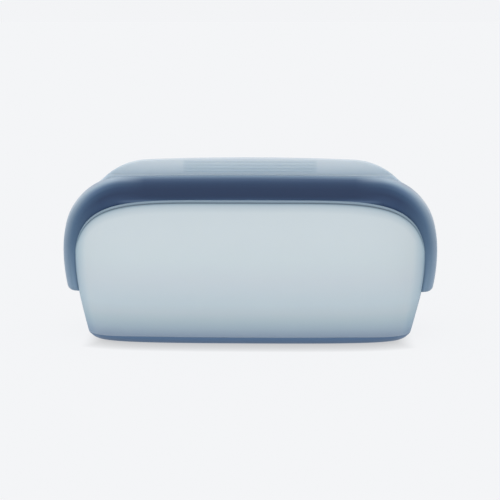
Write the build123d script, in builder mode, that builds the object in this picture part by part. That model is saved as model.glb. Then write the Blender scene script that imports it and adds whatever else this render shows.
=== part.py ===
"""Stand-up silicone food bag, closed by an arched pinch seal.

The bag is moulded silicone. An oval tub stands on a thick foot pad. Above the fold height the
wall is two panels, front and back, that lean out when the bag is opened. Each panel ends in an
arched seal lip. The lips meet in the middle plane, where a ridge on the back lip presses into a
groove in the front lip. Their lower ends are fused into an ear at each side. A pale flange backs
the rear lip, and runs up into a ribbed pull tab.

The silicone of the walls flexes along a line rather than at a pin, so each moving piece turns
about the line where the wall folds, and a small gap there keeps the solids apart.

X is the width, Y the depth with the front towards -Y, and Z is up from the floor.
"""

import math
import os
from typing import NamedTuple

from build123d import *

# ---- Driving dimensions, millimetres ----

# Foot pad and walls
foot_half_width = 86.2  # of the body where it meets the pad, at the rim's depth
foot_half_depth = 34.8
pad_thickness = 3.3
pad_taper = 1.5  # the pad's side draws in by this much down to its lower edge
pad_edge_height = 1.2  # of the sloping lower edge
pad_inset = 3.0  # the underside is this much narrower all round than the pad's top
wall = 1.8
floor_thickness = 1.6
end_fullness = 0.85  # how far the ends, seen from above, hold their width before they turn
face_fullness = 0.9  # how far the front and back hold their depth before they turn

# Rim, where the body meets the seal, seen from the front
rim_top = 71.6
rim_half_width = 93.6
rim_widest_height = 44.0
rim_crown_radius = 1250.0
rim_side_radius = 150.0
rim_corner_radius = 31.0

# Body, between the foot and the rim
belly_height = 24.0  # where the front and back stand out furthest
belly_half_depth = 37.8
neck_half_depth = 9.8  # of the body at its top
rim_depth = 8.6  # the rim stands this far in front of the middle plane
shoulder_fullness = 1.8  # exponent of the side profile above the belly
sections_per_stretch = 4  # plan sections in each stretch of the body
crown_steps = 3  # steps of the body's top under the crown of the rim
halvings = 24  # when a place on a plan outline is searched for

# Folds and gaps
fold_height = 34.0  # the panels lean out from here
gap = 0.3  # between pieces that move apart

# Seal, seen from the front
seal_top_band = 12.8  # width of the seal outside the rim, over its top
seal_side_band = 6.4  # the same, at its sides
seal_widest_height = 42.4
seal_crown_radius = 3600.0
seal_side_radius = 60.3
seal_corner_radius = 29.5
lip_thickness = 4.0
ear_bottom = 22.0
ear_corner_radius = 3.6
ear_edge = 1.6  # chamfer
lip_edge_radius = 3.2
track_inset = 5.0  # centre of the ridge, in from the seal's outer edge
ridge_height = 1.0
ridge_half_width = 2.2  # at its root, on the lip's face
ridge_flank = 1.2  # the ridge narrows this much on each side towards its crest
ridge_clearance = 0.25

# Pull tab
tab_root = 0.3  # the flange runs this far above the seal's top, to where the tab bends
flange_thickness = 2.0
flange_edge = 0.8  # chamfer
tab_height = 9.0  # above the flange
notch_drop = 3.2  # below the seal's top, where the tab's sides run into its outer edge
tab_slope = 38.7  # degrees, of the tab's sides
tab_corner_radius = 55.0
rib_count = 4
rib_pitch = 1.75
rib_width = 0.9
rib_height = 0.4
rib_length = 71.0
rib_top_margin = 2.0  # from the tab's top edge to the first rib


class Arch(NamedTuple):
    """An arch of tangent arcs: a crown, two corners and two bowed sides."""

    top: float
    crown_radius: float
    half_width: float
    widest_height: float
    side_radius: float
    corner_radius: float

    def inset(self, amount):
        """The parallel arch that lies inside this one."""
        return Arch(
            self.top - amount,
            self.crown_radius - amount,
            self.half_width - amount,
            self.widest_height,
            self.side_radius - amount,
            self.corner_radius - amount,
        )

    def crown_centre(self):
        return Vector(0, self.top - self.crown_radius)

    def side_centre(self):
        return Vector(self.half_width - self.side_radius, self.widest_height)

    def corner_centre(self):
        """The point that is as far inside the crown's arc as it is inside the side's arc."""
        crown, side = self.crown_centre(), self.side_centre()
        to_crown = self.crown_radius - self.corner_radius
        to_side = self.side_radius - self.corner_radius
        span = (side - crown).length
        along = (to_crown**2 - to_side**2 + span**2) / (2 * span)
        across = math.sqrt(to_crown**2 - along**2)
        direction = (side - crown).normalized()
        normal = Vector(direction.Y, -direction.X)
        return crown + direction * along + normal * across

    def corner_ends(self):
        """Where the right corner meets the crown and the side."""
        corner = self.corner_centre()
        to_crown = (corner - self.crown_centre()).normalized()
        to_side = (corner - self.side_centre()).normalized()
        return (
            corner + to_crown * self.corner_radius,
            corner + to_side * self.corner_radius,
        )

    def reach(self, height):
        """Half the arch's width at a height."""
        on_crown, on_side = self.corner_ends()
        if height > on_crown.Y:
            centre, radius = self.crown_centre(), self.crown_radius
        elif height > on_side.Y:
            centre, radius = self.corner_centre(), self.corner_radius
        else:
            centre, radius = self.side_centre(), self.side_radius
        rise = height - centre.Y
        return centre.X + math.sqrt(max(radius**2 - rise**2, 0.0))


rim_arch = Arch(
    rim_top, rim_crown_radius, rim_half_width, rim_widest_height, rim_side_radius, rim_corner_radius
)
seal_arch = Arch(
    rim_top + seal_top_band,
    seal_crown_radius,
    rim_half_width + seal_side_band,
    seal_widest_height,
    seal_side_radius,
    seal_corner_radius,
)
lip_inner_arch = rim_arch.inset(wall)

middle = gap / 2  # the lips' faces stand this far from the middle plane
lip_front = middle + lip_thickness
lip_back = lip_front
back_lip_rear = lip_back - flange_thickness
fold_top = fold_height + gap  # lowest height of what leans out
tab_fold = seal_arch.top + tab_root
tab_top = tab_fold + tab_height


def arch_wire(arch, foot):
    """Arcs from the left foot over the crown to the right foot, all at the height foot."""
    on_crown, on_side = arch.corner_ends()
    corner = arch.corner_centre()
    bisector = (on_crown + on_side) * 0.5 - corner
    corner_mid = corner + bisector.normalized() * arch.corner_radius
    side_mid_height = (on_side.Y + foot) / 2
    side_mid = (arch.reach(side_mid_height), side_mid_height)
    foot_point = (arch.reach(foot), foot)
    with BuildLine() as line:
        ThreePointArc(foot_point, side_mid, on_side)
        ThreePointArc(on_side, corner_mid, on_crown)
        mirror(about=Plane.YZ)
        ThreePointArc(on_crown, (0, arch.top), (-on_crown.X, on_crown.Y))
    return line


def arch_face(arch, foot):
    """The face under an arch, closed by a straight foot."""
    with BuildSketch() as face:
        with BuildLine():
            add(arch_wire(arch, foot).line)
            Line((-arch.reach(foot), foot), (arch.reach(foot), foot))
        make_face()
    return face.sketch


def body_half_depth(height):
    """Side profile of the body: bowed out to the belly, then drawn in to the neck."""
    if height < belly_height:
        drop = (belly_height - height) / (belly_height - pad_thickness)
        return belly_half_depth - (belly_half_depth - foot_half_depth) * drop**2
    rise = (height - belly_height) / (rim_arch.top - belly_height)
    return neck_half_depth + (belly_half_depth - neck_half_depth) * (1 - rise**shoulder_fullness)


def room_half_depth(height):
    """Side profile of the room inside, a wall's thickness inside the body's."""
    step = 0.1
    slope = (body_half_depth(height) - body_half_depth(height - step)) / step
    return body_half_depth(height) - wall * math.hypot(1, slope)


def outline_share(half_depth, depth):
    """Half width of a plan oval at a depth, as a share of its full half width."""
    low, high = 0.0, 1.0
    for _ in range(halvings):
        t = (low + high) / 2
        reached = 3 * t * (1 - t) ** 2 * end_fullness + 3 * t**2 * (1 - t) + t**3
        low, high = (t, high) if reached * half_depth < depth else (low, t)
    return (1 - t) ** 3 + 3 * t * (1 - t) ** 2 + 3 * t**2 * (1 - t) * face_fullness


def plan_oval(half_width, half_depth):
    """The bag's outline seen from above, made from one quarter."""
    with BuildSketch() as oval:
        with BuildLine():
            Bezier(
                (half_width, 0),
                (half_width, half_depth * end_fullness),
                (half_width * face_fullness, half_depth),
                (0, half_depth),
            )
            mirror(about=Plane.XZ)
            mirror(about=Plane.YZ)
        make_face()
    return oval.sketch


def section_half_width(arch, foot_width, height, half_depth):
    """Half width of a plan section: at the rim's depth it follows the arch above its widest."""
    outline = arch.reach(max(height, arch.widest_height))
    if height < arch.widest_height:
        drop = (arch.widest_height - height) / (arch.widest_height - pad_thickness)
        outline -= (outline - foot_width) * drop**2
    return outline / outline_share(half_depth, rim_depth)


def evenly(low, high, count):
    """Values from low up to, but not at, high."""
    return [low + (high - low) * number / count for number in range(count)]


def section_heights(arch, bottom):
    """Heights of the plan sections up the sides, round the arch's corner and under its crown."""
    on_crown = arch.corner_ends()[0]
    corner = arch.corner_centre()
    corner_start = math.asin((arch.widest_height - corner.Y) / arch.corner_radius)
    corner_end = math.asin((on_crown.Y - corner.Y) / arch.corner_radius)
    heights = evenly(bottom, belly_height, sections_per_stretch)
    heights += evenly(belly_height, arch.widest_height, sections_per_stretch)
    for turn in evenly(corner_start, corner_end, sections_per_stretch + 1):
        heights.append(corner.Y + arch.corner_radius * math.sin(turn))
    for reach in evenly(on_crown.X, 0.0, crown_steps):
        rise = math.sqrt(arch.crown_radius**2 - reach**2)
        heights.append(arch.crown_centre().Y + rise)
    return heights


def pillow(arch, bottom, foot_width, half_depth_at):
    """A solid through plan ovals, closed under the arch's crown."""
    with BuildPart() as solid:
        for height in section_heights(arch, bottom):
            half_depth = half_depth_at(height)
            with BuildSketch(Plane.XY.offset(height)):
                add(plan_oval(section_half_width(arch, foot_width, height, half_depth), half_depth))
        loft(ruled=True)
    return solid.part


# ---- Shapes that several pieces share ----

outside = pillow(rim_arch, pad_thickness, foot_half_width, body_half_depth)
floor_height = pad_thickness + floor_thickness
room = pillow(lip_inner_arch, floor_height, foot_half_width - wall, room_half_depth)
at_fold = Plane.XY.offset(fold_height)
above_fold = Plane.XY.offset(fold_top)


def lip_plate(near, far, shape_edge=None, size=0.0):
    """A plate with the outline of the seal, between two depths, its far outer edge shaped."""
    with BuildPart() as plate:
        with BuildSketch(Plane.XZ.offset(-near)):
            add(arch_face(seal_arch, ear_bottom))
        extrude(amount=near - far)
        if shape_edge:
            far_face = plate.faces().sort_by(lambda face: abs(face.center().Y - far))[0]
            shape_edge(far_face.edges().filter_by(GeomType.CIRCLE), size)
        with BuildSketch(Plane.XZ.offset(-near)):
            add(arch_face(lip_inner_arch, ear_bottom))
        extrude(amount=near - far, mode=Mode.SUBTRACT)
    return plate.part


def seal_track(clearance):
    """A bar with sloping flanks that follows the seal: the ridge, or its groove with a clearance."""
    flat_line = arch_wire(seal_arch.inset(track_inset), ear_bottom)
    path = Plane.XZ * flat_line.wires()[0]
    root = ridge_half_width + clearance
    crest = middle - ridge_height - clearance
    with BuildPart() as track:
        with BuildSketch(Plane(origin=path @ 0, x_dir=(0, 1, 0), z_dir=path % 0)):
            with BuildLine():
                Polyline(
                    (middle, -root),
                    (crest, ridge_flank - root),
                    (crest, root - ridge_flank),
                    (middle, root),
                    close=True,
                )
            make_face()
        sweep(path=path)
    return track.part


def tab_face(low, high):
    """The pull tab seen from the front, between two heights, down to the rim's top."""
    notch_height = seal_arch.top - notch_drop
    notch_reach = seal_arch.reach(notch_height)
    shoulder = notch_reach - (tab_top - notch_height) / math.tan(math.radians(tab_slope))
    with BuildSketch() as face:
        with BuildLine():
            Polyline(
                (-notch_reach, rim_arch.top),
                (-notch_reach, notch_height),
                (-shoulder, tab_top),
                (shoulder, tab_top),
                (notch_reach, notch_height),
                (notch_reach, rim_arch.top),
                close=True,
            )
        make_face()
        fillet(face.vertices().group_by(Axis.Y)[-1], tab_corner_radius)
        with Locations((0, (low + high) / 2)):
            Rectangle(2 * seal_arch.half_width, high - low, mode=Mode.INTERSECT)
    return face.sketch


# ---- Foot, tub and ears: the part that stands still ----

pad_half_width = section_half_width(rim_arch, foot_half_width, pad_thickness, foot_half_depth)

with BuildPart() as base_pad:
    for height, inset in ((0.0, pad_inset), (pad_edge_height, pad_taper), (pad_thickness, 0.0)):
        with BuildSketch(Plane.XY.offset(height)):
            add(plan_oval(pad_half_width - inset, foot_half_depth - inset))
    loft(ruled=True)
base_pad.part.label = "base_pad"

with BuildPart() as tub:
    add(outside)
    add(room, mode=Mode.SUBTRACT)
    split(bisect_by=at_fold, keep=Keep.BOTTOM)
tub.part.label = "tub"

# The lips' lower ends, fused together and to the sides of the tub
with BuildPart() as ears:
    with BuildSketch(Plane.XZ) as ear_outline:
        add(arch_face(seal_arch, ear_bottom))
        fillet(ear_outline.vertices().group_by(Axis.Y)[0], ear_corner_radius)
    extrude(amount=lip_front, both=True)
    for flat in ears.faces().filter_by(Axis.Y):
        chamfer(flat.edges().filter_by(GeomType.CIRCLE), ear_edge)
    split(bisect_by=at_fold, keep=Keep.BOTTOM)
    add(outside, mode=Mode.SUBTRACT)

with BuildPart() as left_ear:
    add(ears.part)
    split(bisect_by=Plane.YZ, keep=Keep.BOTTOM)
left_ear.part.label = "left_ear"

with BuildPart() as right_ear:
    add(ears.part)
    split(bisect_by=Plane.YZ, keep=Keep.TOP)
right_ear.part.label = "right_ear"

# ---- Front flap: panel, rim and the lip with the groove ----

with BuildPart() as front_panel:
    add(outside)
    add(room, mode=Mode.SUBTRACT)
    split(bisect_by=above_fold, keep=Keep.TOP)
    split(bisect_by=Plane.XZ.offset(rim_depth), keep=Keep.TOP)
front_panel.part.label = "front_panel"

with BuildPart() as front_rim:
    with BuildSketch(Plane.XZ.offset(lip_front)):
        add(arch_face(rim_arch, fold_top))
        add(arch_face(lip_inner_arch, fold_top), mode=Mode.SUBTRACT)
    extrude(amount=rim_depth - lip_front)
front_rim.part.label = "front_rim"

with BuildPart() as front_seal_lip:
    add(lip_plate(-middle, -lip_front, fillet, lip_edge_radius))
    add(seal_track(ridge_clearance), mode=Mode.SUBTRACT)
    split(bisect_by=above_fold, keep=Keep.TOP)
front_seal_lip.part.label = "front_seal_lip"

# ---- Back flap: panel, rim, the lip with the ridge, and the flange behind it ----

with BuildPart() as back_panel:
    add(front_panel.part)
    mirror(about=Plane.XZ, mode=Mode.REPLACE)
back_panel.part.label = "back_panel"

with BuildPart() as back_rim:
    add(front_rim.part)
    mirror(about=Plane.XZ, mode=Mode.REPLACE)
back_rim.part.label = "back_rim"

with BuildPart() as back_seal_lip:
    add(lip_plate(middle, back_lip_rear))
    split(bisect_by=above_fold, keep=Keep.TOP)
back_seal_lip.part.label = "back_seal_lip"

with BuildPart() as seal_ridge:
    add(seal_track(0.0))
    split(bisect_by=above_fold, keep=Keep.TOP)
seal_ridge.part.label = "seal_ridge"

with BuildPart() as back_flange:
    add(lip_plate(back_lip_rear, lip_back, chamfer, flange_edge))
    split(bisect_by=above_fold, keep=Keep.TOP)
    with BuildSketch(Plane.XZ.offset(-back_lip_rear)):
        add(tab_face(rim_arch.top, tab_fold))
    extrude(amount=-flange_thickness)
back_flange.part.label = "back_flange"

# ---- Pull tab ----

tab_middle = back_lip_rear + flange_thickness / 2
tab_axis_height = tab_fold + gap + flange_thickness / 2

with BuildPart() as pull_tab:
    with BuildSketch(Plane.XZ.offset(-back_lip_rear)):
        add(tab_face(tab_axis_height, tab_top))
    extrude(amount=-flange_thickness)
    tab_half_width = pull_tab.faces().sort_by(Axis.Z)[0].bounding_box().max.X
    with BuildSketch(Plane.YZ.offset(-tab_half_width)):
        with Locations((tab_middle, tab_axis_height)):
            Circle(flange_thickness / 2)
    extrude(amount=2 * tab_half_width)
pull_tab.part.label = "pull_tab"

with BuildPart() as grip_ribs:
    with BuildSketch(Plane.XZ.offset(-back_lip_rear)):
        for number in range(rib_count):
            with Locations((0, tab_top - rib_top_margin - number * rib_pitch)):
                Rectangle(rib_length, rib_width)
    extrude(amount=rib_height)
grip_ribs.part.label = "grip_ribs"

pieces = [
    base_pad,
    tub,
    left_ear,
    right_ear,
    front_panel,
    front_rim,
    front_seal_lip,
    back_panel,
    back_rim,
    back_seal_lip,
    seal_ridge,
    back_flange,
    pull_tab,
    grip_ribs,
]
os.makedirs("parts", exist_ok=True)
for piece in pieces:
    export_step(piece.part, f"parts/{piece.part.label}.step")
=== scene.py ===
"""Stand-up silicone food bag: pale moulded walls on a deep blue foot, with an arched deep blue seal.

Each half of the bag is one moulded skin, from the floor over the bead of the rim to the seal. X is
the width, -Y the front, Z up. Lengths are millimetres until a piece is laid out, and its mesh is in
metres.
"""

import math

import bpy
import numpy as np
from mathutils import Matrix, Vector


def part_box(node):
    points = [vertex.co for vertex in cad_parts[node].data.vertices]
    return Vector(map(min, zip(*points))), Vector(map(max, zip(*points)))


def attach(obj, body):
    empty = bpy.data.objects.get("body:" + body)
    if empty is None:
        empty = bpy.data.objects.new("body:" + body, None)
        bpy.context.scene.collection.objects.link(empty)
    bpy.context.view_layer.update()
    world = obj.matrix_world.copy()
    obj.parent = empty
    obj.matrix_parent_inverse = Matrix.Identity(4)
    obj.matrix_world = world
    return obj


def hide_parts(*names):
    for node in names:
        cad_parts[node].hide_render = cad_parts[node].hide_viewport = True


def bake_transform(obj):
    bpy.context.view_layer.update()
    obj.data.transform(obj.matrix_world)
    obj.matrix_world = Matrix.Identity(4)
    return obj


MM = 0.001

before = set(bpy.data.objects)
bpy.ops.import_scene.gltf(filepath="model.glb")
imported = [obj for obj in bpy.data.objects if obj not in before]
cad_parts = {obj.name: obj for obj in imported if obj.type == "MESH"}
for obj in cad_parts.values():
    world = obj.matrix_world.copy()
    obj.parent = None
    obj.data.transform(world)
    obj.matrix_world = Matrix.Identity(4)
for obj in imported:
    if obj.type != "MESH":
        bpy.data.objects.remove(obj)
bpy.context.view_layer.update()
bpy.ops.object.select_all(action="DESELECT")


# ---- Sizes that the pieces share ----


def box_mm(node):
    """Lowest and highest corner of a CAD node, in millimetres."""
    low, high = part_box(node)
    return Vector(low) / MM, Vector(high) / MM


pad_high = box_mm("base_pad")[1]
lip_high = box_mm("front_seal_lip")[1]
tab_low, tab_high = box_mm("pull_tab")
rib_low, rib_high = box_mm("grip_ribs")

seam_lift = 0.9  # the blue of the foot stands this far above the CAD's pad
foot_inset = 0.4  # the wall's foot stands this far inside the ends of the CAD's pad
foot_z = pad_high.z + seam_lift
foot_half_width = pad_high.x - foot_inset
foot_half_depth = pad_high.y
corner_dip = 0.7  # how much lower the seam over the foot lies at the ends
corner_dip_over = (0.55, 0.95)  # it goes down between these shares of the foot's half width

wall = 1.8
wall_foot = 36.0  # the rim runs down the ends to here
end_fullness_up = 1.95  # how soon the ends spread, going up
end_fullness = 0.87  # how far the ends, seen from above, hold their width before they turn
face_fullness = 0.97  # how far the front and back hold their depth before they turn
oval_points = 161  # points of a quarter of the outline from above

rim_top = box_mm("front_rim")[1].z
rim_drop = 0.25  # the drawn rim lies this far under the CAD's highest point
rim_half_width = 93.6
rim_level = 20.0  # half width of the rim's level middle
rim_hold = 0.69  # how far the rim stays level before it turns down
rim_fall_end = 34.0  # height at which the rim's sides are upright
rim_shoulder_x = 50.0  # from here outwards the points of the rim count as its side
rim_points = 321  # points of half of its arch

ear_lift = 0.2  # the seal's feet stand this far above the CAD's
ear_foot = box_mm("right_ear")[0].z + ear_lift
seal_top = lip_high.z
seal_overhang = 0.1  # the seal is drawn this much wider than the CAD's, on each side
seal_widest = 43.5  # height at which the seal is widest
seal_crown_radius = 3200.0
seal_corner_radius = 32.3
seal_side_radius = 65.0
seal_leg_radius = 95.0

tab_root = box_mm("back_flange")[1].z
tab_top = tab_high.z
tab_front = tab_low.y
tab_back = tab_high.y


# ---- Outlines ----


def smooth(low, high, value):
    """0 below low, 1 above high, and an even S between them."""
    t = min(1.0, max(0.0, (value - low) / (high - low)))
    return t * t * (3 - 2 * t)


def mix(a, b, share):
    """What lies a share of the way from a to b."""
    return a + (b - a) * share


def shares_along(points):
    """How far along a line each point lies, from 0 to 1."""
    steps = np.linalg.norm(np.diff(points, axis=0), axis=1)
    reached = np.concatenate([[0.0], np.cumsum(steps)])
    return reached / reached[-1]


def points_at(points, shares):
    """Points of a line at the given shares of its length."""
    own = shares_along(points)
    return np.stack([np.interp(shares, own, points[:, k]) for k in range(points.shape[1])], axis=1)


def drawn_curve(handles, count):
    """Points of the cubic curve that four handles draw."""
    t = np.linspace(0, 1, count)[:, None]
    weights = ((1 - t) ** 3, 3 * t * (1 - t) ** 2, 3 * t**2 * (1 - t), t**3)
    return sum(weight * np.array(handle) for weight, handle in zip(weights, handles))


def both_sides(half):
    """A line from its left foot to its right foot, from its right half, which starts at the middle."""
    return np.concatenate([half[:0:-1] * (-1, 1), half])


def arch(top, half_width, widest, crown, corner, side, leg):
    """Right half of an arch of four arcs that run into each other, with the radii crown, corner, side
    and leg: (centre, radius, first angle, last angle) for each, and no last angle for the leg."""
    crown_at = Vector((0.0, top - crown))
    side_at = Vector((half_width - side, widest))
    to_crown, to_side = crown - corner, side - corner
    span = (side_at - crown_at).length
    along = (to_crown**2 - to_side**2 + span**2) / (2 * span)
    across = math.sqrt(to_crown**2 - along**2)
    line = (side_at - crown_at).normalized()
    corner_at = crown_at + line * along + Vector((line.y, -line.x)) * across
    first = math.atan2(*reversed(corner_at - crown_at))
    last = math.atan2(*reversed(corner_at - side_at))
    return [
        (crown_at, crown, math.pi / 2, first),
        (corner_at, corner, first, last),
        (side_at, side, last, 0.0),
        (Vector((half_width - leg, widest)), leg, 0.0, None),
    ]


def arch_line(arcs, foot, counts, crowding):
    """Points (x, z) along an arch from its left foot to its right foot, crowded towards its feet."""
    half = []
    for (centre, radius, first, last), count in zip(arcs, counts):
        shares = [n / count for n in range(count)]
        if last is None:
            last = math.asin((foot - centre.y) / radius)
            shares = [1 - (1 - n / count) ** crowding for n in range(count + 1)]
        for share in shares:
            angle = mix(first, last, share)
            half.append((centre.x + radius * math.cos(angle), centre.y + radius * math.sin(angle)))
    return both_sides(np.array(half))


def rim_curve():
    """Right half of the rim's arch, level in its middle and upright where it ends: (x, z)."""
    top = rim_top - rim_drop
    handles = (
        (rim_level, top),
        (mix(rim_level, rim_half_width, rim_hold), top),
        (rim_half_width, top),
        (rim_half_width, rim_fall_end),
    )
    return np.concatenate([[(0.0, top)], drawn_curve(handles, rim_points)])


def rim_line(crown_count, side_count, inset=0.0):
    """Points of the rim's arch, or of one inside it, from its left foot to its right foot."""
    curve = rim_curve()
    way = np.gradient(curve, axis=0)
    way /= np.linalg.norm(way, axis=1, keepdims=True)
    curve = curve + np.stack([way[:, 1], -way[:, 0]], axis=1) * inset
    own = shares_along(curve)
    foot = np.interp(-wall_foot, -curve[:, 1], own)
    shoulder = np.interp(rim_shoulder_x, curve[:, 0], own)
    crown = np.linspace(0, shoulder, crown_count + 1)[:-1]
    side = np.linspace(shoulder, foot, side_count + 1)
    return both_sides(points_at(curve, np.concatenate([crown, side])))


def half_oval(half_width, half_depth):
    """Half of the bag's outline from above, from the left end over the front to the right end."""
    handles = (
        (half_width, 0.0),
        (half_width, half_depth * end_fullness),
        (half_width * face_fullness, half_depth),
        (0.0, half_depth),
    )
    return both_sides(drawn_curve(handles, oval_points)[::-1])


def seam_drop(x):
    """How far the seam over the foot has come down at a distance from the middle."""
    return corner_dip * smooth(*corner_dip_over, abs(x) / foot_half_width)


def end_spread(rise):
    """How much of the way from its half width at the foot to that at the rim an end has gone."""
    return 1 - (1 - rise) ** end_fullness_up


# ---- Making a piece ----

merge_distance = 0.002 * MM
smooth_angle = math.radians(35.0)  # a sharper edge stays an edge


def grid_piece(name, places, around=False):
    """A piece from a grid laid on its form: places[row][column] in millimetres. A grid that goes
    around has its last row joined to its first."""
    rows, columns = places.shape[:2]
    bpy.ops.object.select_all(action="DESELECT")
    bpy.ops.mesh.primitive_grid_add(x_subdivisions=columns - 1, y_subdivisions=rows - 1, size=1)
    piece = bpy.context.object
    piece.name = piece.data.name = name
    piece.data.vertices.foreach_set("co", (places.reshape(-1, 3) * MM).astype(np.float32).ravel())
    if around:
        select_nothing("EDGE")
        last = (rows - 1) * columns
        for edge in piece.data.edges:
            a, b = edge.vertices
            edge.select = (a < columns and b < columns) or (a >= last and b >= last)
        bpy.ops.object.mode_set(mode="EDIT")
        bpy.ops.mesh.bridge_edge_loops()
        bpy.ops.object.mode_set(mode="OBJECT")
    return piece


def select_nothing(kind):
    """Sets the active piece to selecting points or edges, and selects none of them."""
    bpy.ops.object.mode_set(mode="EDIT")
    bpy.ops.mesh.select_mode(type=kind)
    bpy.ops.mesh.select_all(action="DESELECT")
    bpy.ops.object.mode_set(mode="OBJECT")


def close_and_smooth():
    """Fills what is still open in the new piece, turns its faces outwards and smooths its shading."""
    bpy.ops.object.mode_set(mode="EDIT")
    bpy.ops.mesh.select_mode(type="VERT")
    bpy.ops.mesh.select_all(action="SELECT")
    bpy.ops.mesh.remove_doubles(threshold=merge_distance)
    bpy.ops.mesh.select_all(action="DESELECT")
    bpy.ops.mesh.select_non_manifold(extend=False, use_wire=False, use_multi_face=False)
    bpy.ops.mesh.fill_holes(sides=0)
    bpy.ops.mesh.select_all(action="SELECT")
    bpy.ops.mesh.normals_make_consistent(inside=False)
    bpy.ops.object.mode_set(mode="OBJECT")
    bpy.ops.object.shade_smooth_by_angle(angle=smooth_angle)


def write_attribute(piece, name, values):
    """One number for each of the piece's points, for its material."""
    attribute = piece.data.attributes.new(name, "FLOAT", "POINT")
    attribute.data.foreach_set("value", np.asarray(values, np.float32).ravel())


# ---- Body halves ----

floor_thickness = 1.6
inner_fillet = 4.0  # radius where the wall meets the floor inside
belly_bulge = 3.0  # the belly stands this far out beyond the foot
belly_rise = 0.3  # height of the belly, as a share of the wall's height
shoulder_fullness = 1.8  # how long the wall keeps its depth above the belly
rim_depth = 7.4  # the rim stands this far in front of the middle
rim_parting = (32.0, 50.0)  # between these heights it comes forward from the ends of the bag
rim_step = 0.9  # the inner wall ends this far behind the rim
collar_depth = 4.4  # where the wall ends inside the seal
collar_parting = (34.0, 52.0)

bead_radius = 0.84
bead_least = 0.12  # share of the radius that is left where the bead runs out
bead_fade = (42.0, 68.0)  # it runs out between these heights
bead_sunk = 0.25  # the bead's middle lies this share of its radius inside the rim's line
bead_degrees = range(-70, 151, 22)  # around its section, from the wall over its front to its back

body_crown_count = 34  # points along the rim's middle, on each side
body_side_count = 60
wall_rows = 58
row_crowding = 0.75  # how much the rows crowd towards the rim

crease_fade = (44.0, 68.0)  # the painted shade of the crease under the bead runs out between these heights
crease_shift = 1.5  # where it has run out, that painted shade is read this much further in
on_bead = -1.0  # what "from_rim" says on the bead and the collar
under_bead = -0.3  # on the bead's first line, beside the wall
on_inside = 20.0  # and on the inner wall


def wall_depth(rise):
    """How much of the depth at its foot the wall has: more in the belly, and nothing at the rim."""
    belly = belly_bulge / (foot_half_depth - rim_depth)
    if rise < belly_rise:
        return 1 + belly * (1 - (1 - rise / belly_rise) ** 2)
    above = (rise - belly_rise) / (1 - belly_rise)
    return (1 + belly) * (1 - above**shoulder_fullness)


def outer_wall(foot, rim, rim_y):
    """Rows of points from the seam over the foot up to the rim."""
    seam_z = np.array([foot_z - seam_drop(x) for x in foot[:, 0]])
    steps = np.linspace(0, 1, wall_rows)
    rows = []
    for rise in mix(steps, 1 - (1 - steps) ** 2, row_crowding):
        x = mix(foot[:, 0], rim[:, 0], end_spread(rise))
        y = rim_y + (foot[:, 1] - rim_y) * wall_depth(rise)
        rows.append(np.stack([x, -y, mix(seam_z, rim[:, 1], rise)], axis=1))
    return np.array(rows)


def inner_wall(outer, inner_rim, rim_y):
    """The outer wall's rows moved in by its thickness, with a fillet where they meet the floor."""
    normals = np.cross(np.gradient(outer, axis=1), np.gradient(outer, axis=0))
    normals /= np.linalg.norm(normals, axis=2, keepdims=True)
    inner = outer - normals * wall
    floor_z = foot_z + floor_thickness
    lift = np.maximum(inner[:, :, 2] - floor_z, 0.0)
    short = np.clip(inner_fillet - lift, 0.0, inner_fillet)
    inward = inner_fillet - np.sqrt(inner_fillet**2 - short**2)
    level = normals[:, :, :2] / np.linalg.norm(normals[:, :, :2], axis=2, keepdims=True)
    inner[:, :, :2] -= level * inward[:, :, None]
    inner[:, :, 2] = floor_z + lift
    # at its ends it stays in the plane between the halves, and its top is the inner arch
    inner[:, (0, -1), 1] = outer[:, (0, -1), 1]
    inner[-1] = np.stack([inner_rim[:, 0], -np.maximum(rim_y - rim_step, 0.0), inner_rim[:, 1]], axis=1)
    return inner


def bead_lines(rim, rim_y):
    """Lines of points around the bead that runs along the rim."""
    tangent = np.gradient(rim, axis=0)
    tangent /= np.linalg.norm(tangent, axis=1, keepdims=True)
    radius = np.array([bead_radius * mix(bead_least, 1.0, smooth(*bead_fade, z)) for _, z in rim])
    lines = []
    for angle in np.radians(bead_degrees):
        out = (math.sin(angle) - bead_sunk) * radius
        x = rim[:, 0] - tangent[:, 1] * out
        y = rim_y + math.cos(angle) * radius
        lines.append(np.stack([x, -y, rim[:, 1] + tangent[:, 0] * out], axis=1))
    return lines


def distance_inside(outer):
    """How far each point of the outer wall lies from the rim, or from the end of the bag, for the
    painted shade.
    """
    from_rim = np.min(np.linalg.norm(outer[:, :, None] - outer[-1][None, None], axis=3), axis=2)
    ends = np.abs(outer[:, (0, -1), 0]).max(axis=1)
    from_end = ends[:, None] - np.abs(outer[:, :, 0])
    fade = np.array([1 - smooth(*crease_fade, z) for z in outer[:, :, 2].ravel()])
    return np.minimum(from_rim, from_end) + crease_shift * fade.reshape(from_rim.shape)


def close_bottom(piece, rows, columns):
    """Flat faces under the half and on its floor inside."""
    for first in (0, (rows - 1) * columns):
        select_nothing("VERT")
        for number in range(first, first + columns):
            piece.data.vertices[number].select = True
        bpy.ops.object.mode_set(mode="EDIT")
        bpy.ops.mesh.edge_face_add()
        bpy.ops.object.mode_set(mode="OBJECT")


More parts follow.
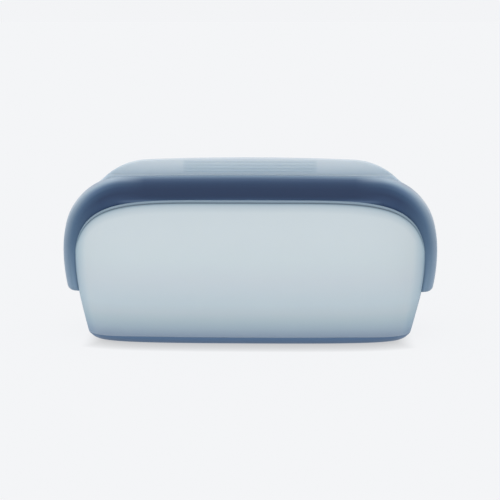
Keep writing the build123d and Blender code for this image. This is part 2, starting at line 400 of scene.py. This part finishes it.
def body_half(name, side):
    """The front (side -1) or back (side 1) skin: outer wall, bead, collar, inner wall and floor."""
    rim = rim_line(body_crown_count, body_side_count)
    inner_rim = rim_line(body_crown_count, body_side_count, inset=wall)
    foot = points_at(half_oval(foot_half_width, foot_half_depth), shares_along(rim))
    rim_y = np.array([rim_depth * smooth(*rim_parting, z) for _, z in rim])
    collar_y = np.array([collar_depth * smooth(*collar_parting, z) for _, z in rim])
    outer = outer_wall(foot, rim, rim_y)
    collar = [np.stack([line[:, 0], -collar_y, line[:, 1]], axis=1) for line in (rim, inner_rim)]
    inner = inner_wall(outer, inner_rim, rim_y)
    places = np.concatenate([outer, bead_lines(rim, rim_y), collar, inner[::-1]])
    places[:, :, 1] *= -side
    piece = grid_piece(name, places)
    from_rim = np.full(places.shape[:2], on_bead)
    from_rim[:wall_rows] = distance_inside(outer)
    from_rim[wall_rows] = under_bead
    from_rim[-wall_rows:] = on_inside
    write_attribute(piece, "from_rim", from_rim)
    reach = np.abs(places[:, (0, -1), 0]).max(axis=1, keepdims=True)
    write_attribute(piece, "from_end", reach - np.abs(places[:, :, 0]))
    close_bottom(piece, *places.shape[:2])
    close_and_smooth()
    return piece


front_body = body_half("front_body", -1)
back_body = body_half("back_body", 1)


# ---- Lines of the seal and of the tab that grows from it ----

band_counts = (46, 30, 16, 20)  # points along the crown, corner, side and leg of the seal
band_crowding = 1.8  # how much the points crowd towards the foot of the leg
seal_arcs = arch(
    seal_top,
    lip_high.x + seal_overhang,
    seal_widest,
    seal_crown_radius,
    seal_corner_radius,
    seal_side_radius,
    seal_leg_radius,
)
seal_line = arch_line(seal_arcs, ear_foot, band_counts, band_crowding)

inner_crown_count = 200  # points along the wall's inner face, of which each section takes its nearest
inner_side_count = 400
inner_leg_count = 60
facing_over = (24.0, 46.0)  # the seal's sections lie level below these heights, and face the wall above

notch_drop = 3.7  # the notch between the tab and the seal lies this far under the seal's top
tab_crown = 1350.0  # radius of the tab's nearly level top
tab_corner = 36.0  # radius of its shoulders
tab_slope = math.radians(41.5)  # how steeply its sides run down to the notch
tab_crown_count = 30
tab_corner_count = 40
halvings = 40  # of the stretch in which the tab's crown has to end


def wall_end(height):
    """Half width of the bag's end at a height below the rim's foot."""
    curve = rim_curve()
    reach = np.interp(-wall_foot, -curve[:, 1], curve[:, 0])
    return mix(foot_half_width, reach, end_spread((height - foot_z) / (wall_foot - foot_z)))


def inner_edge(line):
    """For each point of the seal's line, the point inside the wall that it faces."""
    upper = rim_line(inner_crown_count, inner_side_count, inset=wall)
    upper = upper[len(upper) // 2 :]
    heights = np.linspace(wall_foot, ear_foot, inner_leg_count)[1:]
    lower = np.array([(wall_end(height) - wall, height) for height in heights])
    curve = np.concatenate([upper, lower])
    own = shares_along(curve)
    half = []
    for x, z in line[len(line) // 2 :]:
        facing = own[np.argmin((curve[:, 0] - x) ** 2 + (curve[:, 1] - z) ** 2)]
        level = np.interp(-z, -curve[:, 1], own)
        half.append(mix(level, facing, smooth(*facing_over, z)))
    return both_sides(points_at(curve, np.maximum.accumulate(half)))


inner_line = inner_edge(seal_line)

# the notch lies on the arc of the seal's corner
corner_centre, corner_radius = seal_arcs[1][:2]
notch_z = seal_top - notch_drop
notch_x = corner_centre.x + math.sqrt(corner_radius**2 - (notch_z - corner_centre.y) ** 2)


def crown_fall(turn):
    """How far the tab's crown has come down where it has turned by an angle."""
    return tab_crown * (1 - math.cos(turn))


def corner_miss(x):
    """How far the tab's edge passes over the notch, when its crown ends at x."""
    lean = math.asin(x / tab_crown)
    drop = crown_fall(lean) + tab_corner * (math.cos(lean) - math.cos(tab_slope))
    end = x + tab_corner * (math.sin(tab_slope) - math.sin(lean))
    return tab_top - drop - (notch_z + math.tan(tab_slope) * (notch_x - end))


def tab_edge():
    """Right half of the tab's outline: a nearly level crown, an arc, and straight down to the notch."""
    low, high = 0.0, notch_x
    for _ in range(halvings):
        middle = (low + high) / 2
        low, high = (low, middle) if corner_miss(middle) > 0 else (middle, high)
    lean = math.asin(low / tab_crown)
    line = []
    for turn in np.linspace(0, lean, tab_crown_count)[:-1]:
        line.append((tab_crown * math.sin(turn), tab_top - crown_fall(turn)))
    for turn in np.linspace(lean, tab_slope, tab_corner_count):
        x = low + tab_corner * (math.sin(turn) - math.sin(lean))
        line.append((x, tab_top - crown_fall(lean) - tab_corner * (math.cos(lean) - math.cos(turn))))
    return np.array([*line, (notch_x, notch_z)])


tab_line = tab_edge()
tab_root_half = float(np.interp(-tab_root, -tab_line[:, 1], tab_line[:, 0]))

# the flange follows the seal, and under the tab it stands up to the tab's root
flange_line = seal_line.copy()
for number, (x, z) in enumerate(seal_line):
    if abs(x) < notch_x and z > rim_top:
        tab_z = np.interp(abs(x), tab_line[:, 0], tab_line[:, 1])
        flange_line[number, 1] = max(z, min(tab_root, tab_z))


# ---- Seal bands ----

ear_corner = 2.7  # radius of the lips' outline at their feet
foot_thinning = 0.35  # share of its depth that a lip loses as its foot rounds off

seal_part = 0.05  # half the gap between the closed lips
seal_inset = 0.05  # the blue lips stop this far inside the flange's edge
parting_bevel = ((0.12, 0.0), (0.03, 0.04), (0.0, 0.15))  # in from the edge, and away from the gap
foot_gap = 0.9  # at the ends of the bag the bands stop this far outside the wall's inner face

track_ends = (35.0, 39.0)  # the groove and the ridge run out between these heights
track_inset = 5.0  # their middle lies this far in from the seal's edge
track_half_width = 2.45  # half width of the groove at its mouth
track_flank = 1.2  # width of each sloping flank
track_depth = 0.95
ridge_height = 0.75
ridge_slack = 0.25  # the ridge is narrower than the groove by this, on each side
plain_shares = (0.8, 0.62, 0.44, 0.26)  # where the track's points lie where there is no track

lip_depths = (4.9, 6.3)  # how deep the front lip is, low down and high up
lip_depths_over = (30.0, 60.0)
lip_turns = (3.8, 3.4)  # how wide its outer rounding is, low down and high up
lip_turns_over = (40.0, 70.0)
lip_turn_most = 0.75  # of the face's width
lip_shoulder = 0.86  # the rounding ends at this share of the depth, and the face swells on from there
lip_least_width = 2.0  # the face is at least this wide where the seal is narrow
lip_turn_steps = 10
lip_face_shares = (0.25, 0.5, 0.75, 1.0)
lip_inner_bevel = (0.6, 0.2)  # at the face's inner edge: further in, and back from the face
lip_inner_step = 0.9  # the inner side's middle lies this far in from that edge
lip_inner_shares = (0.8, 0.7)  # of the depth, at the inner side's middle and at its foot

lip_overlap = 0.05  # the back lip reaches this far into the flange
back_lip_edge = 0.7  # the back lip's outer edge ends at this share of its depth
back_lip_bevel = 0.1
flange_round = 0.85  # radius of the flange's edge
flange_square = 0.02  # the same where it runs on into the tab
square_inside_root = 1.5  # it is square from the middle to this far inside the end of the tab's root
round_outside_notch = 1.0  # and fully round from this far outside the notch
flange_steps = 8


def band(name, profile, outer_line, side):
    """A closed band along the seal. profile(width, keep, spot) gives the section's points as pairs of
    a distance in from the outer edge, which is at spot, and a depth, of which it keeps a share."""
    sections = []
    for inner, outer in zip(inner_line, outer_line):
        width = float(np.linalg.norm(outer - inner))
        short = max(0.0, ear_corner - (float(outer[1]) - ear_foot))
        corner = ear_corner - math.sqrt(max(0.0, ear_corner**2 - short**2))
        keep = 1 - foot_thinning * corner / ear_corner
        line = []
        for inwards, depth in profile(width - corner, keep, outer):
            spot = inner + (outer - inner) * (1 - (inwards + corner) / width)
            line.append((spot[0], depth * side, spot[1]))
        sections.append(line)
    places = np.array(sections).transpose(1, 0, 2)
    piece = grid_piece(name, places, around=True)
    shares = shares_along(outer_line)
    up_the_arch = np.minimum(shares, 1 - shares) * 2
    from_edge = np.linalg.norm(places[:, :, (0, 2)] - outer_line[None], axis=2)
    write_attribute(piece, "from_edge", from_edge)
    write_attribute(piece, "along", np.repeat(up_the_arch[None], len(places), axis=0))
    close_and_smooth()
    return piece


def inner_end(width, height):
    """How far in from the outer edge a band ends: at the wall's inner face, or short of it low down."""
    return width - foot_gap * (1 - smooth(*track_ends, height))


def lip_face(width, height, half_width, depth):
    """The side of a lip that meets the other lip: flat, with the groove or the ridge along it."""
    tracked = smooth(*track_ends, height)
    crest = half_width - track_flank
    points = [(inner_end(width, height), seal_part)]
    for share, across, away in zip(
        plain_shares, (half_width, crest, -crest, -half_width), (0.0, depth, depth, 0.0)
    ):
        inwards = mix(width * share, track_inset + across, tracked)
        points.append((inwards, seal_part + away * tracked))
    return points + [(seal_inset + inwards, seal_part + away) for inwards, away in parting_bevel]


def front_lip_profile(width, keep, spot):
    """Section of the front lip: flat inside with the groove, full and rounded outside."""
    height = float(spot[1])
    edge, start = seal_inset, seal_part + parting_bevel[-1][1]
    inner = max(width - wall, edge + lip_least_width)
    face = mix(*lip_depths, smooth(*lip_depths_over, height)) * keep
    turn = mix(*lip_turns, smooth(*lip_turns_over, height))
    turn = min(turn, (inner - edge) * lip_turn_most)
    shoulder = face * lip_shoulder
    points = lip_face(width, height, track_half_width, track_depth)
    for number in range(1, lip_turn_steps + 1):
        angle = math.pi / 2 * number / lip_turn_steps
        inwards = edge + turn * (1 - math.cos(angle))
        points.append((inwards, mix(start, shoulder, math.sin(angle))))
    for share in lip_face_shares:
        swell = 1 - (1 - share) ** 2
        points.append((mix(edge + turn, inner, share), mix(shoulder, face, swell)))
    points.append((inner + lip_inner_bevel[0], face - lip_inner_bevel[1]))
    points.append((inner + lip_inner_step, face * lip_inner_shares[0]))
    points.append((inner_end(width, height), face * lip_inner_shares[1]))
    return points


def back_lip_profile(width, keep, spot):
    """Section of the back lip: the ridge faces the groove, and the flange covers its back."""
    height = float(spot[1])
    back = (tab_front + lip_overlap) * keep
    points = lip_face(width, height, track_half_width - ridge_slack, -ridge_height)
    points.append((seal_inset, tab_front * back_lip_edge * keep))
    points.append((seal_inset + back_lip_bevel, back))
    points.append((inner_end(width, height), back))
    return points


def flange_profile(width, keep, spot):
    """Section of the flange behind the back lip, square where it runs on into the tab."""
    x, height = abs(float(spot[0])), float(spot[1])
    near = tab_front * keep
    far = tab_back * keep
    square_to, round_from = tab_root_half - square_inside_root, notch_x + round_outside_notch
    under_tab = 1 - smooth(square_to, round_from, x) if height > rim_top else 0.0
    radius = mix(flange_round, flange_square, under_tab)
    inner = inner_end(width, height)
    points = [(inner, near), (radius, near)]
    for number in range(1, flange_steps):
        angle = math.pi * (number / flange_steps - 0.5)
        depth = (near + far) / 2 + (far - near) / 2 * math.sin(angle)
        points.append((radius * (1 - math.cos(angle)), depth))
    return points + [(radius, far), (inner, far)]


front_lip = band("front_lip", front_lip_profile, seal_line, -1)
back_lip = band("back_lip", back_lip_profile, seal_line, 1)
flange = band("flange", flange_profile, flange_line, 1)


# ---- Pull tab ----

tab_half_count = 96  # points from the tab's middle to its side
tab_front_rows = 76
tab_edge_steps = 8
tab_back_rows = 12
tab_edge_radius = 0.9
tab_middle = (tab_front + tab_back) / 2
tab_half_depth = (tab_back - tab_front) / 2

rib_pitch = 1.75
rib_height = 0.075
rib_start = 0.42  # how far below the CAD's first rib the wave starts
rib_margin = 0.3  # the waves go on this far above and below the CAD's ribs
rib_sharpness = 1.5  # above 1 the valleys are wider than the ribs
rib_end = 0.4  # the ribs end this far outside the CAD's
rib_fade = 1.2  # and fade out over this


def rib_rise(line):
    """How far the ribs stand out along a level line of the tab's front."""
    above = line[:, 2] - rib_low.z
    ribbed = (above > -rib_margin) & (above < rib_high.z - rib_low.z + rib_margin)
    wave = 0.5 - 0.5 * np.cos(2 * math.pi * (above + rib_start) / rib_pitch)
    last = rib_high.x + rib_end
    ends = np.array([1 - smooth(last - rib_fade, last, abs(x)) for x in line[:, 0]])
    return rib_height * np.where(ribbed, wave**rib_sharpness, 0.0) * ends


def rib_shade_field(spots):
    """1 where the tab's front is ribbed, and down to 0 around it, for the shade painted in its grooves.
    """
    x, y, z = np.moveaxis(spots, 2, 0)
    field = np.clip((rib_high.x + rib_end - np.abs(x)) / rib_fade, 0, 1)
    field *= np.clip((z - rib_low.z + rib_fade / 2) / rib_fade, 0, 1)
    field *= np.clip((rib_high.z + rib_fade / 2 - z) / rib_fade, 0, 1)
    return field * (y < tab_middle)


def tab_piece():
    """The tab as one closed plate, its grip ribs moulded into its front."""
    reach = tab_root_half * np.sin(np.linspace(0, 1, tab_half_count) * math.pi / 2)
    across = np.concatenate([-reach[:0:-1], reach])
    top = np.interp(np.abs(across), tab_line[:, 0], tab_line[:, 1])
    upright = np.maximum(top - tab_edge_radius - tab_root, 0.0)

    def level_line(share, y):
        """A line across the plate, at a share of its upright height."""
        return np.stack([across, np.full_like(across, y), tab_root + upright * share], axis=1)

    rows = []
    for share in np.linspace(0, 1, tab_front_rows):
        line = level_line(share, tab_front)
        line[:, 1] -= rib_rise(line)
        rows.append(line)
    for number in range(1, tab_edge_steps):
        angle = math.pi * (number / tab_edge_steps - 0.5)
        line = level_line(1.0, tab_middle + tab_half_depth * math.sin(angle))
        line[:, 2] += np.minimum(top - line[:, 2], tab_edge_radius) * math.cos(angle)
        rows.append(line)
    for share in np.linspace(1, 0, tab_back_rows):
        rows.append(level_line(share, tab_back))
    spots = np.array(rows)
    piece = grid_piece("ribbed_tab", spots)
    write_attribute(piece, "ribbed", rib_shade_field(spots))
    close_and_smooth()
    return piece


pull_tab = tab_piece()


# ---- Foot pad ----

# from the floor up to the seam: how far inside the wall's outline, and how high
pad_section = (
    (5.4, 0.0),
    (4.1, 0.12),
    (3.0, 0.45),
    (2.0, 1.05),
    (1.2, 1.9),
    (0.5, 2.6),
    (0.12, foot_z - 0.35),
    (0.05, foot_z - 0.08),
    (0.3, foot_z),
)
pad_dip_from = 3.0  # the rings above this height dip at the ends, as the seam does


def foot_pad():
    """The pad under the bag: its outline pushed up ring by ring, as wide as the wall at its top."""
    outline = half_oval(1.0, 1.0)
    ring = np.concatenate([outline * (1, -1), outline[-2::-1]])
    rings = []
    for inset, z in pad_section:
        x, y = (ring * (foot_half_width - inset, foot_half_depth - inset)).T
        dips = [seam_drop(distance) if z > pad_dip_from else 0.0 for distance in x]
        rings.append(np.stack([x, y, z - np.array(dips)], axis=1))
    piece = grid_piece("foot_pad", np.array(rings))
    close_and_smooth()
    return piece


pad = foot_pad()


# ---- Materials ----

# sockets of a Mix node that mixes colours
FACTOR, FIRST, SECOND, MIXED = 0, 6, 7, 2


def linear(hex_colour):
    """An sRGB hex colour as linear RGBA."""
    values = []
    for start in (0, 2, 4):
        value = int(hex_colour[start : start + 2], 16) / 255
        values.append(value / 12.92 if value <= 0.04045 else ((value + 0.055) / 1.055) ** 2.4)
    return (*values, 1.0)


def add_node(tree, kind, inputs=None, **settings):
    """Adds a node with its settings; an input is a value or another node's output."""
    node = tree.nodes.new(kind)
    for key, value in settings.items():
        setattr(node, key, value)
    for key, value in (inputs or {}).items():
        if isinstance(value, bpy.types.NodeSocket):
            tree.links.new(value, node.inputs[key])
        else:
            node.inputs[key].default_value = value
    return node


def coloured_by(tree, measure, low, high, stops):
    """A colour for each value of a measure, shaded between the stops. A stop is a value of the
    measure, between low and high, and its hex colour, and the stops rise."""
    share = add_node(tree, "ShaderNodeMapRange", {"Value": measure, "From Min": low, "From Max": high})
    ramp = add_node(tree, "ShaderNodeValToRGB", {"Fac": share.outputs["Result"]})
    places = [(at - low) / (high - low) for at, _ in stops]
    elements = ramp.color_ramp.elements
    elements.remove(elements[1])
    elements[0].position = places[0]
    for later in places[1:]:
        elements.new(later)
    for element, (_, colour) in zip(elements, stops):
        element.color = linear(colour)
    return ramp.outputs["Color"]


def height_of(tree):
    """Height above the floor in millimetres."""
    place = add_node(tree, "ShaderNodeTexCoord").outputs["Object"]
    parts = add_node(tree, "ShaderNodeSeparateXYZ", {"Vector": place})
    height = add_node(tree, "ShaderNodeMath", {0: parts.outputs["Z"], 1: 1 / MM}, operation="MULTIPLY")
    return height.outputs["Value"]


def silicone(name, colour_of, roughness, scatter):
    """Moulded silicone: satin, slightly uneven, and light passes a little way into it."""
    material = bpy.data.materials.new(name)
    material.use_nodes = True
    tree = material.node_tree
    tree.nodes.clear()
    place = add_node(tree, "ShaderNodeTexCoord").outputs["Object"]
    # the mould's fine matte grain, drawn coarser than it is so that it shows
    grain_size = 0.4 * MM
    grain = add_node(
        tree,
        "ShaderNodeTexNoise",
        {"Vector": place, "Scale": 1 / grain_size, "Detail": 2.0, "Roughness": 0.6},
    )
    bump = add_node(
        tree,
        "ShaderNodeBump",
        {"Height": grain.outputs["Fac"], "Strength": 0.12, "Distance": 0.08 * MM},
    )
    # the slow unevenness of a soft wall
    sway_size = 25 * MM
    sway = add_node(
        tree,
        "ShaderNodeTexNoise",
        {"Vector": place, "Scale": 1 / sway_size, "Detail": 1.0, "Roughness": 0.4},
    )
    unevenness = 0.05
    satin = add_node(
        tree,
        "ShaderNodeMapRange",
        {
            "Value": sway.outputs["Fac"],
            "From Min": 0.3,
            "From Max": 0.7,
            "To Min": roughness - unevenness,
            "To Max": roughness + unevenness,
        },
    )
    shader = add_node(
        tree,
        "ShaderNodeBsdfPrincipled",
        {
            "Base Color": colour_of(tree),
            "Roughness": satin.outputs["Result"],
            "Normal": bump.outputs["Normal"],
            "IOR": 1.41,
            "Subsurface Weight": scatter,
            "Subsurface Radius": (1.0, 1.1, 1.3),
            "Subsurface Scale": 2 * MM,
        },
    )
    output = add_node(tree, "ShaderNodeOutputMaterial")
    tree.links.new(shader.outputs["BSDF"], output.inputs["Surface"])
    return material


def wall_colour(tree):
    """Pale wall with painted shade: darker towards the foot and in a narrow line under the bead."""
    # painted shade: the wall darkens towards the foot, where it turns down over it
    height_shade_stops = (
        (5.0, "8d9eb1"),
        (9.2, "9eb0bd"),
        (13.3, "aabbc3"),
        (17.5, "b5c2c9"),
        (22.0, "b9c7ce"),
        (34.0, "bec8ce"),
        (44.0, "c0cbcf"),
        (54.0, "c1cbcf"),
    )
    rise = coloured_by(tree, height_of(tree), 0.0, 60.0, height_shade_stops)
    # painted shade: a dark line in the crease under the bead, a softer one just below it and along the
    # wall's ends, and the bead and collar a little darker
    rim_shade_stops = (
        (-1.0, "aebdcb"),
        (0.0, "a9b9c6"),
        (0.35, "8796a4"),
        (0.7, "677684"),
        (1.1, "677684"),
        (1.5, "8d9ca9"),
        (2.0, "bccad6"),
        (2.6, "d8e1e8"),
        (3.4, "e4ebf0"),
        (4.5, "eef2f5"),
        (8.0, "ffffff"),
    )
    from_rim = add_node(tree, "ShaderNodeAttribute", attribute_name="from_rim").outputs["Fac"]
    crease = coloured_by(tree, from_rim, -1.0, 9.0, rim_shade_stops)
    # a faint bluish painted shade at the ends, where the wall turns away from the light
    end_shade_stops = ((0.0, "effaff"), (3.0, "f3fbff"), (8.0, "ffffff"))
    from_end = add_node(tree, "ShaderNodeAttribute", attribute_name="from_end").outputs["Fac"]
    ends = coloured_by(tree, from_end, 0.0, 10.0, end_shade_stops)
    colour = rise
    for shade_tint in (crease, ends):
        both = {FACTOR: 1.0, FIRST: colour, SECOND: shade_tint}
        multiplied = add_node(tree, "ShaderNodeMix", both, data_type="RGBA", blend_type="MULTIPLY")
        colour = multiplied.outputs[MIXED]
    return colour


def flange_colour(tree):
    """Pale back flange: lighter at its rounded edge, a painted highlight, darker inwards on the blue
    lip.
    """
    from_edge = add_node(tree, "ShaderNodeAttribute", attribute_name="from_edge").outputs["Fac"]
    return coloured_by(tree, from_edge, 0.0, 10.0, ((0.0, "bfcdd7"), (3.0, "b4c5d2"), (8.0, "9fb3c4")))


def tab_colour(tree):
    """Pale tab with painted shade: darker towards the blue seal that it grows from, and a little on its
    ribs.
    """
    # painted shade, deepest at the root where the thick seal stands before the tab
    height_shade_stops = (
        (84.0, "b0c1cd"),
        (86.1, "b3c2cd"),
        (87.2, "b8c6cf"),
        (89.3, "c0ccd4"),
        (91.5, "c8d2d8"),
        (93.8, "c7cfd6"),
    )
    rise = coloured_by(tree, height_of(tree), 80.0, 95.0, height_shade_stops)
    ribbed = add_node(tree, "ShaderNodeAttribute", attribute_name="ribbed").outputs["Fac"]
    # painted shade in the grooves between the ribs
    shade_tint = coloured_by(tree, ribbed, 0.0, 1.0, ((0.0, "ffffff"), (1.0, "eff4f7")))
    both = {FACTOR: 1.0, FIRST: rise, SECOND: shade_tint}
    multiplied = add_node(tree, "ShaderNodeMix", both, data_type="RGBA", blend_type="MULTIPLY")
    return multiplied.outputs[MIXED]


# The lips' colours from their outer edge inwards, with painted light: a painted reflection of the
# bright room and of light through thin silicone lightens them at their outer edge, their feet and the
# crown's inner edge, and painted shade darkens them deep in the crown. Each row holds at a share of the
# way from the foot of the seal over its side to the middle of its crown, and its stops are distances
# with colours.
lip_painted_light = (
    (0.02, ((0.4, "8fa2b4"), (1.5, "8297ac"), (3.5, "758ea4"), (6.0, "6e88a1"))),
    (
        0.19,
        ((0.5, "8da1b3"), (1.5, "7c8fa3"), (3.5, "5f778e"), (4.5, "526c86"), (5.5, "4b6782")),
    ),
    (
        0.35,
        (
            *((0.5, "bac5cf"), (1.5, "91a2b2"), (3.5, "667c92"), (4.5, "4e6883")),
            *((5.5, "3e5876"), (7.5, "304a69")),
        ),
    ),
    (
        0.43,
        (
            *((0.5, "a2adbc"), (1.5, "93a7b6"), (2.5, "71879f"), (3.5, "526b89")),
            *((5.5, "2f4b6b"), (8.5, "1e3657"), (12.5, "264164")),
        ),
    ),
    (
        0.5,
        (
            *((0.5, "a3b3c1"), (1.5, "8c9fb1"), (2.5, "5f768f"), (3.5, "425c79")),
            *((5.5, "274162"), (8.5, "1c3354"), (12.5, "2b4466")),
        ),
    ),
    (
        0.62,
        (
            *((0.0, "8497aa"), (0.6, "60768e"), (1.5, "3a516f"), (2.5, "2d4565"), (4.5, "203858")),
            *((6.5, "1a3152"), (10.2, "1a3152"), (11.3, "223b5c"), (12.0, "384f70"), (12.7, "6a82a0")),
        ),
    ),
)


def seal_colour(tree):
    """Deep blue lips with painted light: lighter towards their outer edge and feet, darker inwards."""
    from_edge = add_node(tree, "ShaderNodeAttribute", attribute_name="from_edge").outputs["Fac"]
    along = add_node(tree, "ShaderNodeAttribute", attribute_name="along").outputs["Fac"]
    rows = []
    for at, stops in lip_painted_light:
        rows.append((at, coloured_by(tree, from_edge, 0.0, 14.0, stops)))
    below, colour = rows[0]
    for at, here in rows[1:]:
        reach = {"Value": along, "From Min": below, "From Max": at}
        share = add_node(tree, "ShaderNodeMapRange", reach)
        both = {FACTOR: share.outputs["Result"], FIRST: colour, SECOND: here}
        colour = add_node(tree, "ShaderNodeMix", both, data_type="RGBA").outputs[MIXED]
        below = at
    return colour


def pad_colour(tree):
    """Deep blue foot, with painted shade a little deeper towards the seam, under the wall's belly."""
    return coloured_by(tree, height_of(tree), 0.0, 4.0, ((0.0, "5e7797"), (3.3, "577394")))


pale_wall = silicone("pale_moulded_silicone_wall", wall_colour, roughness=0.5, scatter=0.25)
pale_tab = silicone("pale_moulded_silicone_tab", tab_colour, roughness=0.5, scatter=0.25)
pale_flange = silicone("pale_moulded_silicone_flange", flange_colour, roughness=0.5, scatter=0.25)
blue_seal = silicone("deep_blue_moulded_silicone_seal", seal_colour, roughness=0.45, scatter=0.1)
blue_pad = silicone("deep_blue_moulded_silicone_foot", pad_colour, roughness=0.45, scatter=0.1)


def finish_piece(piece, material):
    """Gives a piece its material."""
    piece.data.materials.append(material)


# ---- Materials for the pieces, and the CAD parts they replace ----

finish_piece(front_body, pale_wall)
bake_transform(front_body)
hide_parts("tub", "front_panel", "front_rim")

finish_piece(back_body, pale_wall)
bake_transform(back_body)
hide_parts("back_panel", "back_rim")

finish_piece(front_lip, blue_seal)
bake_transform(front_lip)
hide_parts("front_seal_lip", "left_ear", "right_ear")

finish_piece(back_lip, blue_seal)
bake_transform(back_lip)
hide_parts("back_seal_lip", "seal_ridge")

finish_piece(flange, pale_flange)
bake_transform(flange)
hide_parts("back_flange")

finish_piece(pull_tab, pale_tab)
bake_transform(pull_tab)
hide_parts("pull_tab", "grip_ribs")

finish_piece(pad, blue_pad)
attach(pad, "tub_body")
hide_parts("base_pad")


# ---- Studio ----

studio_white = linear("f3f4f6")
toward_light = Vector((-0.15, -0.5, 0.8)).normalized()


def room_light():
    """Light from all round, strongest from above the front and a little from the left. What the camera
    sees behind the bag is plain."""
    world = bpy.data.worlds.new("studio")
    bpy.context.scene.world = world
    world.use_nodes = True
    tree = world.node_tree
    tree.nodes.clear()
    direction = add_node(tree, "ShaderNodeTexCoord").outputs["Generated"]
    facing = add_node(
        tree, "ShaderNodeVectorMath", {0: direction, 1: toward_light}, operation="DOT_PRODUCT"
    )
    softbox = add_node(
        tree,
        "ShaderNodeMapRange",
        {
            "Value": facing.outputs["Value"],
            "From Min": -0.6,
            "From Max": 1.0,
            "To Min": 0.65,
            "To Max": 1.25,
        },
        interpolation_type="SMOOTHSTEP",
    )
    light = add_node(
        tree, "ShaderNodeBackground", {"Color": studio_white, "Strength": softbox.outputs["Result"]}
    )
    plain = add_node(tree, "ShaderNodeBackground", {"Color": studio_white, "Strength": 1.0})
    seen = add_node(tree, "ShaderNodeLightPath").outputs["Is Camera Ray"]
    both = add_node(tree, "ShaderNodeMixShader", {0: seen, 1: light.outputs[0], 2: plain.outputs[0]})
    output = add_node(tree, "ShaderNodeOutputWorld")
    tree.links.new(both.outputs[0], output.inputs["Surface"])


def key_light():
    """One broad soft light from above the front, where the room is brightest."""
    key = bpy.data.lights.new("key", "SUN")
    key.energy = 0.25
    key.angle = math.radians(50)
    key_object = bpy.data.objects.new("key", key)
    key_object.rotation_euler = (-toward_light).to_track_quat("-Z", "Y").to_euler()
    bpy.context.scene.collection.objects.link(key_object)


def floor_with_painted_shadow():
    """A floor that glows evenly with its own light, with a painted shadow: where something stands close
    over it, the glow is turned down."""
    painted_shadow_reach = 15 * MM
    painted_shadow_end = (70 * MM, 88 * MM)  # the painted shadow ends between these distances from the middle
    opal = bpy.data.materials.new("glowing_floor_with_painted_shadow")
    opal.use_nodes = True
    tree = opal.node_tree
    tree.nodes.clear()
    # the painted shadow looks back and up, so that it falls to the front, and only under the bag's
    # width
    look = add_node(tree, "ShaderNodeCombineXYZ", {"Y": 0.85, "Z": 0.5}).outputs["Vector"]
    openness = add_node(
        tree, "ShaderNodeAmbientOcclusion", {"Distance": painted_shadow_reach, "Normal": look}, samples=16
    )
    spot = add_node(tree, "ShaderNodeTexCoord").outputs["Object"]
    across = add_node(tree, "ShaderNodeSeparateXYZ", {"Vector": spot}).outputs["X"]
    width = add_node(tree, "ShaderNodeMath", {0: across}, operation="ABSOLUTE").outputs["Value"]
    beside = add_node(
        tree,
        "ShaderNodeMapRange",
        {"Value": width, "From Min": painted_shadow_end[0], "From Max": painted_shadow_end[1]},
        interpolation_type="SMOOTHSTEP",
    )
    either = {0: openness.outputs["AO"], 1: beside.outputs["Result"]}
    open_here = add_node(tree, "ShaderNodeMath", either, operation="MAXIMUM").outputs["Value"]
    glow = add_node(tree, "ShaderNodeMapRange", {"Value": open_here, "To Min": 0.52, "To Max": 0.95})
    shader = add_node(
        tree,
        "ShaderNodeBsdfPrincipled",
        {
            "Base Color": linear("3f3f3f"),
            "Roughness": 1.0,
            "Specular IOR Level": 0.0,
            "Emission Color": studio_white,
            "Emission Strength": glow.outputs["Result"],
        },
    )
    output = add_node(tree, "ShaderNodeOutputMaterial")
    tree.links.new(shader.outputs["BSDF"], output.inputs["Surface"])
    return opal


def table():
    """A pale lit table so wide that its edge is out of sight."""
    bpy.ops.object.select_all(action="DESELECT")
    bpy.ops.mesh.primitive_circle_add(vertices=96, radius=60.0, fill_type="NGON")
    floor = bpy.context.object
    floor.name = "floor"
    floor.data.materials.append(floor_with_painted_shadow())


def camera():
    """Almost straight in front of the bag, a little above it, with a long lens."""
    elevation = math.radians(9.5)
    azimuth = math.radians(1.2)
    distance = 744 * MM
    aim = Vector((0.05, 0.0, 44.2)) * MM
    data = bpy.data.cameras.new("camera")
    data.sensor_width = 36.0
    data.lens = 100.0
    eye = bpy.data.objects.new("camera", data)
    level = math.cos(elevation)
    back = Vector((math.sin(azimuth) * level, -math.cos(azimuth) * level, math.sin(elevation)))
    eye.location = aim + back * distance
    eye.rotation_euler = (-back).to_track_quat("-Z", "Y").to_euler()
    bpy.context.scene.collection.objects.link(eye)
    bpy.context.scene.camera = eye


bpy.context.scene.view_settings.view_transform = "Standard"
room_light()
table()
key_light()
camera()
